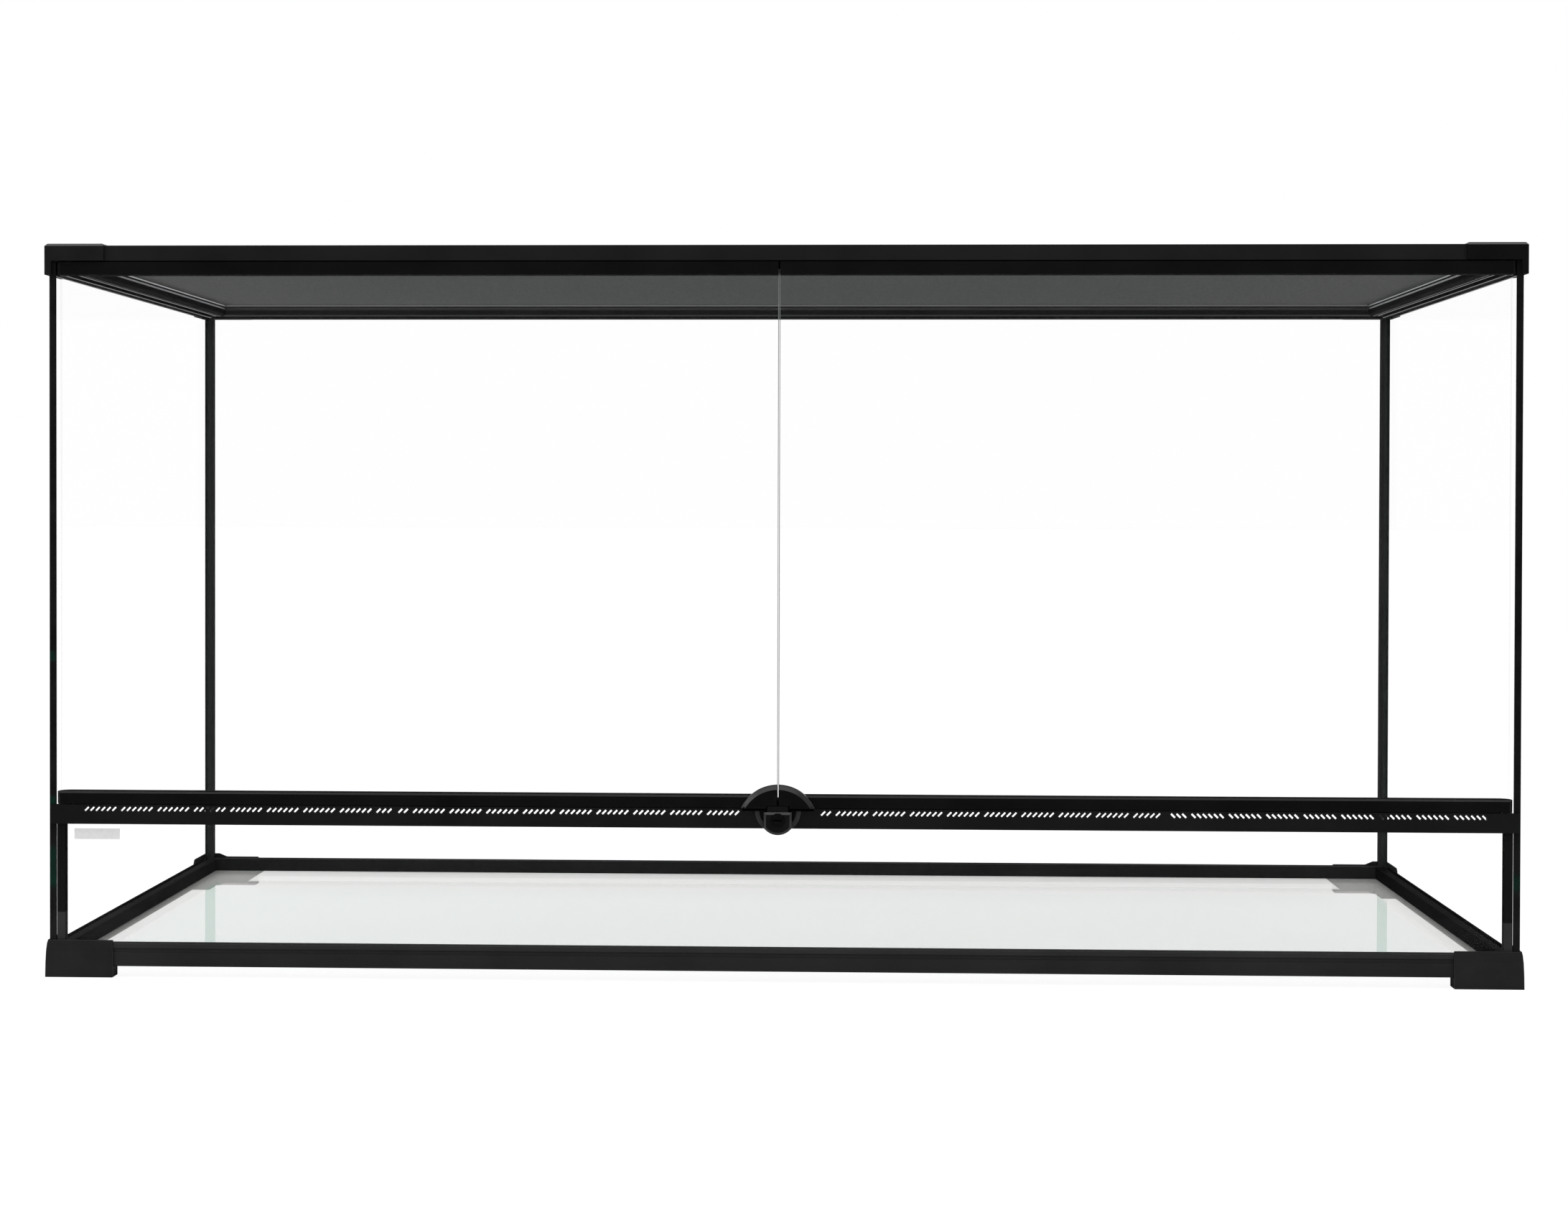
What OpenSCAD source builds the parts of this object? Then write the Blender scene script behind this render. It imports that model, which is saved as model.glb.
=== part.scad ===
// Front-opening glass terrarium: plastic rails and corner pieces round glass panes,
// two swing doors over a slotted vent strip, a lock below the doors' meeting edges
// and a mesh screen that lifts out of the top.
// Millimetres, Z up. X runs along the front, Y from front to back. The origin is the
// bottom centre of the whole object, with the handle and lock included.

/* [Overall] */
// Width across the feet and corner caps
tank_w = 1200; // [900:10:1500]
// Depth across the feet and corner caps, without the lock
tank_d = 600; // [400:10:800]
// Height from the ground to the tops of the corner caps
tank_h = 600; // [450:10:900]

/* [Glass] */
// Thickness of the side, back, door and lower front panes
glass_t = 4; // [3:0.5:5]
// Thickness of the floor pane
floor_t = 4; // [4:0.5:6]
// Gap between a pane and the faces of its groove
glass_play = 0.1; // [0.05:0.05:0.2]
// Outer face of the side and back panes, in from the faces of the feet
pane_in = 3.8; // [3.6:0.1:4.4]
// Front face of the doors and the lower front pane, in from the faces of the feet
front_pane_in = 5.5; // [5:0.1:6]
// Depth of a pane's edge in the rail above or below it
pane_seat = 7; // [5:0.5:9]

/* [Base] */
// Height of the rails' undersides above the ground
ground_gap = 9; // [6:0.5:14]
// Width of a base rail
base_rail_w = 13; // [12:0.5:18]
// Height of the side and back base rails
base_rail_h = 17.5; // [16:0.5:24]
// Extra height of the front base rail
front_rail_extra = 1; // [1:0.5:5]
// Height of the band along the top of the front base rail's face
face_band_h = 4.2; // [3:0.1:6]
// Height of the shallow groove under that band
face_groove_h = 2.6; // [1.5:0.1:4]
// Depth of that groove
face_groove_d = 0.7; // [0.3:0.1:1]
// Height of the floor pane above the rails' undersides
floor_lift = 1.4; // [1.2:0.1:4]
// How far the edges of the floor pane reach into the rails
floor_seat = 6; // [4:0.5:7]
// Length of a foot along the front and along the side
foot_reach = 56; // [40:1:80]
// Height of a foot
foot_h = 30.5; // [29:0.5:40]
// How much lower the back wall of a back foot is
foot_back_drop = 3.2; // [2:0.1:3.5]
// Length of the slope down to that wall, from the corner post
foot_back_slope = 10; // [4:1:20]
// Width of the two arms of a foot
foot_arm_w = 17; // [16:0.5:24]
// Radius of the inner corner between the arms
foot_fillet_r = 8; // [4:1:12]
// Wall of the feet and caps outside the rails
shell_wall = 2.5; // [2.3:0.1:3]
// How far the upper part of a foot draws in
foot_taper = 1.2; // [0.6:0.1:1.4]
// Height of the part that draws in
foot_taper_h = 18; // [12:1:20]
// How far the bevel at the top of a foot draws in further
foot_bevel = 0.7; // [0.3:0.1:0.8]
// Height of that bevel
foot_bevel_h = 3; // [2:0.5:4]

/* [Uprights] */
// Wall of the edge strips and posts outside the glass
profile_wall = 0.7; // [0.6:0.1:1]
// Depth of the strips on the side panes' front edges, from front to back
edge_profile_d = 2.6; // [2.4:0.1:5]
// Width of the end profiles of the lower front pane
end_profile_w = 7; // [6.6:0.2:10]
// Depth of the end profiles of the lower front pane
end_profile_d = 8; // [7:0.5:10]
// Width of the rear corner posts, both ways
post_w = 8.6; // [8.2:0.2:14]

/* [Vent strip] */
// Height of the vent strip's underside above the ground
vent_z = 125.6; // [90:0.2:180]
// Height of the vent strip
vent_h = 15.9; // [14:0.1:20]
// Depth of the vent strip and of the door rails
strip_d = 16; // [15:0.5:20]
// Height of the solid lower bar of the vent strip
vent_bar_h = 6.9; // [6:0.1:8]
// Length of the solid block at each end of the strip
vent_end_l = 19; // [16:0.5:30]
// How far the lip at each end of the strip ends short of the edge strips' faces
vent_lip_in = 1.5; // [0:0.1:2.5]
// Half the width of the solid block that carries the lock
vent_mid_half = 30; // [22:1:40]
// Depth of the recess in the top of that block, under the handle
recess_h = 1.6; // [0.5:0.1:2.5]
// Depth of that recess from front to back
recess_d = 5; // [2:0.5:7]
// Height of the lip behind the doors' meeting edges, above the strip
stop_h = 7.7; // [4:0.1:9]
// Thickness of that lip
stop_t = 2.2; // [1.5:0.1:4]
// How far the lip reaches down behind the cam, below the top of the strip
stop_drop = 3; // [2:0.1:4]
// Gap between the lip and the closed doors
stop_play = 0.4; // [0.3:0.1:1]
// Thickness of a grille
grille_t = 2; // [1.5:0.1:3]
// Depth of the lip along the top of a grille
grille_lip_d = 8; // [6:0.5:9]
// Thickness of that lip
grille_lip_t = 1.2; // [0.8:0.1:1.2]
// Slots in one group
slots_per_group = 6; // [3:1:6]
// Distance from slot to slot in a group
slot_pitch = 4.5; // [4:0.1:4.8]
// Distance from group to group
group_pitch = 30; // [29:0.5:40]
// Length of a slot
slot_l = 4.7; // [3:0.1:5.5]
// Width of a slot
slot_w = 1.5; // [1:0.1:1.8]
// Lean of a slot from level
slot_lean = 45; // [35:1:60]

/* [Doors] */
// Gap between the two doors' rails and handles
door_gap = 1.4; // [1:0.1:3]
// Gap between the two doors' panes
door_pane_gap = 0.6; // [0.5:0.1:2]
// Height of a door's bottom rail
door_rail_h = 10; // [9.8:0.1:14]
// Height of a door's top rail
door_top_h = 10.4; // [10:0.1:14]
// Running gap above and below a door
door_play = 0.8; // [0.5:0.1:1.5]
// Distance from the feet's faces to the hinge axis, along X
pivot_in = 19; // [18.5:0.5:24]
// Radius of the rounded back corner at the outer end of the door rails
rail_end_r = 9.2; // [6:0.2:9.4]
// Width of the cut front corner at that end
rail_corner = 2.2; // [1:0.1:3]
// Chamfer along the top front edge of a door's bottom rail
rail_chamfer = 1.4; // [0.5:0.1:2]
// Radius of a hinge pin
pin_r = 2; // [1.5:0.1:2.5]
// Radial clearance of the hinge pins and the lock's spindle
run_play = 0.05; // [0.02:0.01:0.1]
// How far a hinge pin reaches into the frame
pin_depth = 8.4; // [6:0.1:9]
// How far a hinge pin reaches into its door rail
pin_grip = 4.6; // [3.5:0.1:5]

/* [Handle and lock] */
// How far the lock stands out in front of the feet
grip_proud = 8; // [6:0.5:12]
// Radius of the round handle that the two halves make
handle_r = 34; // [28:1:40]
// Centre of the handle's circle, below the underside of the door rails
handle_drop = 15.3; // [10:0.1:20]
// How far the handle stands out in front of the feet
handle_proud = 5; // [3:0.5:5.5]
// Width of the bevel round the handle's edge
handle_bevel = 3.5; // [1:0.5:4]
// Half the width of the lock body
lock_half = 11.4; // [9:0.1:13]
// Height of the lock body without its neck
lock_h = 18.5; // [17:0.1:20]
// Radius of the lock body's rounded lower end
lock_round_r = 14.1; // [13:0.1:16]
// Bevel round the lock body's front face
lock_bevel = 2; // [0.5:0.1:2.5]
// How far the neck's front face lies behind the body's
neck_back = 2; // [0.5:0.1:3]
// Half the width of the neck that stands between the doors' lower corners
neck_half = 8.5; // [6:0.1:9]
// How far the neck reaches above the underside of the door rails
neck_rise = 1.9; // [1:0.1:2.4]
// Radius of the lock's round cylinder
cylinder_r = 5.5; // [4:0.1:6]
// Radius of the lock's spindle
spindle_r = 2; // [1.5:0.1:2.2]
// Length of the cam from the spindle's axis to its tip
cam_l = 14; // [12:0.5:15]
// Width of the cam
cam_w = 7; // [5:0.5:8]
// Thickness of the cam
cam_t = 2.2; // [1.5:0.1:2.4]
// Outer radius of the raised ring behind the lock body
ring_r = 18.6; // [16:0.2:22]
// Width of that ring
ring_w = 3.5; // [2:0.5:5]

/* [Top] */
// Height of the side and back top rails, under the cap tops
top_rail_h = 24; // [20:0.5:32]
// Height of the front top rail, above the doors
front_top_h = 12.5; // [11:0.5:16]
// Width of the upright part of a top rail
top_rail_w = 11; // [10:0.5:14]
// Width of the ledge that the screen rests on
ledge_w = 14; // [13.6:0.2:20]
// Height of the ledge above the side rails' undersides
ledge_lift = 4; // [3:0.5:6]
// Thickness of the ledge
ledge_t = 4.5; // [3:0.5:6]
// Width of the thin ribs under the ledge
rib_w = 1.2; // [0.8:0.1:2]
// Bevel along the inner lower edge of the ledge
lip_bevel = 2.2; // [1:0.1:2.4]
// Length of a corner cap along the front and along the side
cap_reach = 48.5; // [40:0.5:70]
// Thickness of a corner cap above the rails
cap_t = 1.5; // [1:0.1:2.5]
// Bevel along the outer top edges of a cap
cap_bevel = 2; // [1:0.1:2.6]
// Bevel along the top edges of a cap's two inner ends
cap_end_bevel = 1.2; // [0.5:0.1:1.4]
// Width of the cap's leg beside the door
cap_leg_w = 5; // [4:0.5:6]

/* [Screen] */
// Width of the screen's frame bars
bar_w = 13; // [12:0.5:13.5]
// Height of the frame bars
bar_h = 11; // [9:0.5:14]
// Width of the step that carries the mesh
bar_step_w = 4.5; // [4:0.1:6]
// Height of that step
bar_step_h = 5; // [3:0.5:6]
// Gap between the screen's frame and the top rails
screen_play = 0.4; // [0.2:0.1:0.8]
// Thickness of the mesh
mesh_t = 0.6; // [0.4:0.1:1]
// Openings of the plain grid that stands for the fine mesh, along X and along Y
mesh_cells = [12, 6];
// Width of the strips between those openings
mesh_strip = 3; // [2:0.5:6]
// Solid rim outside the openings
mesh_rim = 5; // [4.5:0.5:8]
// Width and height of the strip that holds the mesh down
spline_w = 2.6; // [2:0.1:3]

/* [Level label] */
// Length of the blank label on the lower pane
label_w = 37.6; // [20:0.1:60]
// Height of the label
label_h = 8.8; // [5:0.1:14]
// Thickness of the label
label_t = 0.3; // [0.2:0.1:0.5]

/* [Hidden] */
$fn = 64;
cut = 1;                      // how far a cutting block runs past a face
xo = tank_w / 2;              // outer faces of the feet and caps
front_y = (grip_proud - tank_d) / 2;

// Rails and panes
base_in = shell_wall + base_rail_w;
side_rail_top = ground_gap + base_rail_h;
front_rail_top = side_rail_top + front_rail_extra;
floor_z = ground_gap + floor_lift;
floor_in = base_in - floor_seat;
pane_z0 = side_rail_top - pane_seat;
rail_top = tank_h - cap_t;
top_z = rail_top - top_rail_h;
front_top_z = rail_top - front_top_h;
pane_z1 = front_top_z + glass_t / 2;
pane_gap = 0.8;               // between the side pane's back edge and the back pane
side_pane_y0 = front_pane_in - 0.5;
profile_in = pane_in - profile_wall;
profile_w = glass_t + 2 * profile_wall;
profile_y0 = side_pane_y0 - 2 * profile_wall;
end_profile_in = profile_in + profile_w + 0.4;
lower_pane_in = end_profile_in + end_profile_w / 2;

// Vent strip and doors
strip_y0 = shell_wall - 1;
strip_y1 = strip_y0 + strip_d;
vent_top = vent_z + vent_h;
vent_bar_top = vent_z + vent_bar_h;
vent_lip = profile_y0 - 0.2;
vent_in = end_profile_in;
lower_pane_top = vent_z + 3.9;
grille_x0 = vent_mid_half;
grille_x1 = xo - vent_in - vent_end_l;
grille_seam = (grille_x0 + grille_x1) / 2 + 11;
stop_y0 = strip_y1 + stop_play;
stop_y1 = stop_y0 + stop_t;
// First slot of each grille, from its left end
slot_start = [6.4, -13.7, -11.3, -6.8];
slot_z = vent_top - 3.5;
door_z0 = vent_top + door_play;
door_z1 = front_top_z - door_play - 0.2;
door_pane_z0 = door_z0 + pin_grip + 0.6;
door_pane_z1 = door_z1 - pin_grip - 0.9;
pivot_x = xo - pivot_in;
pivot_y = front_pane_in + glass_t / 2;
door_pane_x1 = pivot_x + rail_end_r - 2;

// Lock
lock_z1 = vent_top - 2;
lock_z0 = lock_z1 - lock_h;
lock_y0 = -grip_proud + 0.8;
lock_y1 = strip_y0 - 1.2;
spindle_z = lower_pane_top + spindle_r + 1.5;
cylinder_y1 = lock_y1 - 1.6;
cam_y0 = front_pane_in + glass_t + 1.6;
cam_side = 0.5;               // gap in front of and behind the cam
spindle_y1 = cam_y0 + cam_t + 2.2;
notch_half = neck_half + 0.8;
notch_z = door_z0 + neck_rise + 0.4;
cam_reach = sqrt(cam_l * cam_l + cam_w * cam_w / 4);
pocket_x = cam_reach - 2.4;
pocket_z = spindle_z + cam_reach + 1;
ring_z = vent_top - 1;

// Top frame and screen
top_in = shell_wall + top_rail_w;
ledge_z0 = top_z + ledge_lift;
ledge_z = ledge_z0 + ledge_t;
front_leg_y0 = strip_y1 + 1;
front_leg_y1 = front_leg_y0 + 3;
front_ledge_y1 = front_leg_y1 + ledge_w;
screen_in = top_in + screen_play;
screen_y0 = front_leg_y1 + screen_play;
screen_y1 = tank_d - screen_in;
mesh_z = ledge_z + bar_step_h;
mesh_in = bar_w - bar_step_w;
spline_gap = 0.1;

// ---------- helpers: Y is measured here from the faces of the front feet ----------

// Moves the tank so that the origin is the bottom centre of the whole object
module tank() {
    translate([0, front_y, 0]) children();
}

// A block from its low corner to its high corner
module block(lo, hi) {
    translate(lo) cube(hi - lo);
}

// The right-hand piece as it is (side 1), or mirrored to the left (side -1)
module on_side(side) {
    if (side < 0) mirror([1, 0, 0]) children();
    else children();
}

// The front piece as it is, or mirrored to the back
module at_back(back) {
    if (back) translate([0, tank_d, 0]) mirror([0, 1, 0]) children();
    else children();
}

// Extrudes a Y-Z outline along X
module along_x(x0, x1) {
    translate([x0, 0, 0]) rotate([90, 0, 90]) linear_extrude(x1 - x0) children();
}

// Extrudes an X-Z outline along Y
module along_y(y0, y1) {
    translate([0, y1, 0]) rotate([90, 0, 0]) linear_extrude(y1 - y0) children();
}

// A round bar along Y
module rod_y(r, y0, y1, x = 0, z = 0) {
    translate([x, y0, z]) rotate([-90, 0, 0]) cylinder(r = r, h = y1 - y0);
}

// ---------- panes; grow is the play that a groove adds all round ----------

module side_pane(grow = 0) {
    block([xo - pane_in - glass_t - grow, side_pane_y0 - grow, pane_z0 - grow],
          [xo - pane_in + grow, tank_d - pane_in - glass_t - pane_gap + grow, pane_z1 + grow]);
}

module back_pane(grow = 0) {
    half = xo - pane_in - glass_t - pane_gap + grow;
    block([-half, tank_d - pane_in - glass_t - grow, pane_z0 - grow],
          [half, tank_d - pane_in + grow, pane_z1 + grow]);
}

module lower_pane(grow = 0) {
    half = xo - lower_pane_in + grow;
    block([-half, front_pane_in - grow, pane_z0 - grow],
          [half, front_pane_in + glass_t + grow, lower_pane_top + grow]);
}

module floor_pane(grow = 0) {
    block([-xo + floor_in - grow, floor_in - grow, floor_z - grow],
          [xo - floor_in + grow, tank_d - floor_in + grow, floor_z + floor_t + grow]);
}

module door_pane(grow = 0) {
    block([door_pane_gap / 2 - grow, front_pane_in - grow, door_pane_z0 - grow],
          [door_pane_x1 + grow, front_pane_in + glass_t + grow, door_pane_z1 + grow]);
}

module fixed_panes(grow = 0) {
    for (side = [-1, 1]) on_side(side) side_pane(grow);
    back_pane(grow);
    lower_pane(grow);
    floor_pane(grow);
}

// ---------- base frame ----------

module base_rail_front() {
    y0 = shell_wall;
    y1 = base_in;
    groove_z1 = front_rail_top - face_band_h;
    groove_z0 = groove_z1 - face_groove_h;
    color("#1c1c1e") tank() difference() {
        along_x(-xo + shell_wall, xo - shell_wall)
            polygon([
                [y0, ground_gap], [y0, groove_z0], [y0 + face_groove_d, groove_z0],
                [y0 + face_groove_d, groove_z1], [y0, groove_z1],
                [y0, front_rail_top], [y1, front_rail_top], [y1, ground_gap]
            ]);
        fixed_panes(glass_play);
    }
}

module base_rail_back() {
    color("#1c1c1e") tank() difference() {
        block([-xo + shell_wall, tank_d - base_in, ground_gap],
              [xo - shell_wall, tank_d - shell_wall, side_rail_top]);
        fixed_panes(glass_play);
    }
}

module base_rail_side(side) {
    color("#1c1c1e") tank() on_side(side) difference() {
        block([xo - base_in, base_in, ground_gap],
              [xo - shell_wall, tank_d - base_in, side_rail_top]);
        fixed_panes(glass_play);
    }
}

// The outline of a foot or cap seen end on: u is the distance in from the outer face
function foot_outline() = [
    [0, 0], [foot_taper / 6, foot_h - foot_taper_h],
    [foot_taper / 2, foot_h - foot_taper_h / 2], [foot_taper, foot_h - foot_bevel_h],
    [foot_taper + foot_bevel, foot_h], [foot_reach, foot_h], [foot_reach, 0]
];
function cap_outline() = [
    [0, top_z], [0, tank_h - cap_bevel], [cap_bevel, tank_h], [cap_reach - cap_end_bevel, tank_h],
    [cap_reach, tank_h - cap_end_bevel], [cap_reach, top_z]
];

// A square corner block with that outline on both outer faces
module corner_block(outline, reach) {
    intersection() {
        along_x(xo - reach, xo) polygon(outline);
        along_y(0, reach) polygon([for (p = outline) [xo - p[0], p[1]]]);
    }
}

module foot(side, back) {
    inner = xo - foot_arm_w;
    slope_x = xo - profile_in - post_w - 2;
    color("#242426") tank() on_side(side) at_back(back) difference() {
        corner_block(foot_outline(), foot_reach);
        // room for the rails above the base plate
        block([xo - foot_reach - cut, shell_wall, ground_gap],
              [xo - shell_wall, foot_reach + cut, foot_h + cut]);
        // the back wall slopes down beside the corner post
        if (back)
            along_y(-cut, shell_wall + cut)
                polygon([
                    [xo - foot_reach - cut, foot_h - foot_back_drop],
                    [slope_x - foot_back_slope, foot_h - foot_back_drop],
                    [slope_x, foot_h + cut], [xo - foot_reach - cut, foot_h + cut]
                ]);
        // open corner between the two arms, with a rounded inner corner
        translate([0, 0, -cut]) linear_extrude(ground_gap + 2 * cut) difference() {
            translate([xo - foot_reach - cut, foot_arm_w])
                square([foot_reach + cut - foot_arm_w, foot_reach + cut - foot_arm_w]);
            difference() {
                translate([inner - foot_fillet_r, foot_arm_w]) square(foot_fillet_r);
                translate([inner - foot_fillet_r, foot_arm_w + foot_fillet_r]) circle(foot_fillet_r);
            }
        }
    }
}

module floor_glass() {
    color("#e4eeea", 0.5) tank() floor_pane();
}

// ---------- walls ----------

module side_glass(side) {
    color("#dfeeea", 0.35) tank() on_side(side) side_pane();
}

module back_glass() {
    color("#dfeeea", 0.35) tank() back_pane();
}

module lower_front_glass() {
    color("#dfeeea", 0.35) tank() lower_pane();
}

module lower_end_profile(side) {
    y0 = front_pane_in - 1.2;
    color("#202022") tank() on_side(side) difference() {
        block([xo - end_profile_in - end_profile_w, y0, front_rail_top],
              [xo - end_profile_in, y0 + end_profile_d, vent_z]);
        fixed_panes(glass_play);
    }
}

module front_edge_profile(side) {
    color("#202022") tank() on_side(side) difference() {
        block([xo - profile_in - profile_w, profile_y0, front_rail_top],
              [xo - profile_in, profile_y0 + edge_profile_d, front_top_z]);
        fixed_panes(glass_play);
    }
}

module rear_post(side) {
    color("#202022") tank() on_side(side) difference() {
        block([xo - profile_in - post_w, tank_d - profile_in - post_w, side_rail_top],
              [xo - profile_in, tank_d - profile_in, top_z]);
        fixed_panes(glass_play);
    }
}

module level_label() {
    x0 = -xo + lower_pane_in + 10.7;
    z1 = vent_z - 4;
    color("#c9cccb") tank()
        block([x0, front_pane_in - label_t, z1 - label_h], [x0 + label_w, front_pane_in, z1]);
}

// ---------- vent strip ----------

module vent_rail() {
    body = xo - vent_in;
    color("#161617") tank() difference() {
        union() {
            // lower bar with a thin lip in front of the edge profiles
            block([-body, strip_y0, vent_z], [body, strip_y1, vent_bar_top]);
            for (side = [-1, 1]) on_side(side) {
                block([body - vent_end_l, strip_y0, vent_z], [body, strip_y1, vent_top]);
                block([body - cut, strip_y0, vent_z], [xo - profile_in - vent_lip_in, vent_lip, vent_top]);
            }
            block([-vent_mid_half, strip_y0, vent_z], [vent_mid_half, stop_y1, vent_top]);
            // lip that the closed doors rest against
            block([-vent_mid_half, stop_y0, vent_z],
                  [vent_mid_half, stop_y1, vent_top + stop_h]);
        }
        lock_recess();
        fixed_panes(glass_play);
        for (side = [-1, 1]) on_side(side)
            translate([pivot_x, pivot_y, vent_top - pin_depth])
                cylinder(r = pin_r + run_play, h = pin_depth + cut);
        rod_y(spindle_r + run_play, strip_y0 - cut, strip_y1 + cut, 0, spindle_z);
        // room behind the strip for the cam and its nut, open to the tank below the lip
        block([-cam_reach - 1, cam_y0 - cam_side, spindle_z - cam_w / 2 - 1.5],
              [cam_reach + 1, stop_y0, vent_top + cut]);
        block([-cam_reach - 1, stop_y0 - cut, spindle_z - cam_w / 2 - 1.5],
              [cam_reach + 1, stop_y1 + cut, vent_top - stop_drop]);
    }
}

// The recess under the handle, through the strip and the lock's ring
module lock_recess() {
    block([-vent_mid_half + 1, lock_y1 - cut, vent_top - recess_h],
          [vent_mid_half - 1, strip_y0 + recess_d, vent_top + cut]);
}

// Slot centres of one grille: groups of slots at a steady pitch, kept off the ends
function slot_xs(x0, x1, start) = [
    for (k = [0 : ceil((x1 - x0) / group_pitch) + 1])
        for (s = [0 : slots_per_group - 1])
            let (x = x0 + start + (k - 1) * group_pitch + s * slot_pitch)
                if (x > x0 + slot_l / 2 && x < x1 - slot_l / 2) x
];

module vent_grille(x0, x1, start, lean) {
    color("#161617") tank() {
        along_y(strip_y0, strip_y0 + grille_t) difference() {
            translate([x0, vent_bar_top]) square([x1 - x0, vent_top - vent_bar_top]);
            for (x = slot_xs(x0, x1, start))
                translate([x, slot_z]) rotate(lean) square([slot_l, slot_w], center = true);
        }
        // lip that closes the view through the running gap under the doors
        block([x0, strip_y0 + grille_t / 2, vent_top - grille_lip_t],
              [x1, strip_y0 + grille_lip_d, vent_top]);
    }
}

module vent_grille_1() { vent_grille(-grille_x1, -grille_seam, slot_start[0], slot_lean); }
module vent_grille_2() { vent_grille(-grille_seam, -grille_x0, slot_start[1], slot_lean); }
module vent_grille_3() { vent_grille(grille_x0, grille_seam, slot_start[2], slot_lean); }
module vent_grille_4() { vent_grille(grille_seam, grille_x1, slot_start[3], -slot_lean); }

// ---------- doors, drawn on the right and mirrored to the left ----------

// The plan of a door rail: straight, nearly square at the front of its outer end and
// rounded at the back, which is what swings past the top rail
module door_rail_plan() {
    x1 = pivot_x + rail_end_r;
    y1 = strip_y1 - rail_end_r;
    translate([door_gap / 2, strip_y0]) square([pivot_x - door_gap / 2, strip_d]);
    translate([pivot_x, y1]) intersection() {
        circle(rail_end_r);
        translate([-cut, -cut]) square(rail_end_r + 2 * cut);
    }
    polygon([
        [pivot_x - cut, strip_y0], [x1 - rail_corner, strip_y0],
        [x1, strip_y0 + rail_corner], [x1, y1], [pivot_x - cut, y1]
    ]);
}

module lock_notch() {
    block([-notch_half, -grip_proud, door_z0 - cut], [notch_half, strip_y1 + cut, notch_z]);
}

module rail_chamfer_cut() {
    z1 = door_z0 + door_rail_h;
    y = strip_y0 - cut;
    along_x(0, pivot_x + rail_end_r + cut)
        polygon([
            [y, z1 - rail_chamfer - cut], [y, z1 + cut], [strip_y0 + rail_chamfer + cut, z1 + cut]
        ]);
}

module door_bottom_rail(side) {
    color("#141415") tank() on_side(side) difference() {
        translate([0, 0, door_z0]) linear_extrude(door_rail_h) door_rail_plan();
        door_pane(glass_play);
        translate([pivot_x, pivot_y, door_z0 - cut]) cylinder(r = pin_r, h = pin_grip + cut);
        lock_notch();
        rail_chamfer_cut();
        // pocket that the cam turns up into
        block([0, cam_y0 - cam_side, door_z0 - cut],
              [pocket_x, cam_y0 + cam_t + cam_side, pocket_z]);
    }
}

module door_top_rail(side) {
    color("#141415") tank() on_side(side) difference() {
        translate([0, 0, door_z1 - door_top_h]) linear_extrude(door_top_h) door_rail_plan();
        door_pane(glass_play);
        translate([pivot_x, pivot_y, door_z1 - pin_grip]) cylinder(r = pin_r, h = pin_grip + cut);
    }
}

module door_glass(side) {
    color("#e6f2ee", 0.3) tank() on_side(side) door_pane();
}

module door_handle(side) {
    z = door_z0 - handle_drop;
    top = z + handle_r + cut;
    rail_z = door_z0 + door_rail_h;
    color("#1a1a1b") tank() on_side(side) difference() {
        intersection() {
            union() {
                rod_y(handle_r, -handle_proud + handle_bevel, front_pane_in, 0, z);
                translate([0, -handle_proud, z]) rotate([-90, 0, 0])
                    cylinder(r1 = handle_r - handle_bevel, r2 = handle_r, h = handle_bevel);
            }
            union() {
                block([door_gap / 2, -handle_proud - cut, door_z0], [handle_r, strip_y0, top]);
                block([door_gap / 2, -handle_proud - cut, rail_z],
                      [handle_r, front_pane_in - 0.1, top]);
            }
        }
        lock_notch();
    }
}

module hinge_pins(side) {
    color("#b9bcc0") tank() on_side(side) {
        translate([pivot_x, pivot_y, vent_top - pin_depth + 0.1])
            cylinder(r = pin_r, h = pin_depth - 0.1 + door_play + pin_grip);
        translate([pivot_x, pivot_y, door_z1 - pin_grip])
            cylinder(r = pin_r, h = pin_grip + front_top_z - door_z1 + pin_depth - 0.1);
    }
}

// ---------- lock ----------

module lock_ring() {
    color("#2a2a2c") tank() difference() {
        intersection() {
            union() {
                rod_y(ring_r, strip_y0 - 0.6, strip_y0, 0, ring_z);
                difference() {
                    rod_y(ring_r, lock_y1, strip_y0, 0, ring_z);
                    rod_y(ring_r - ring_w, lock_y1 - cut, strip_y0 - 0.6, 0, ring_z);
                }
            }
            block([-ring_r, lock_y1, vent_z], [ring_r, strip_y0, vent_top]);
        }
        lock_recess();
        rod_y(spindle_r + run_play, lock_y1 - cut, strip_y0 + cut, 0, spindle_z);
    }
}

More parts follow.
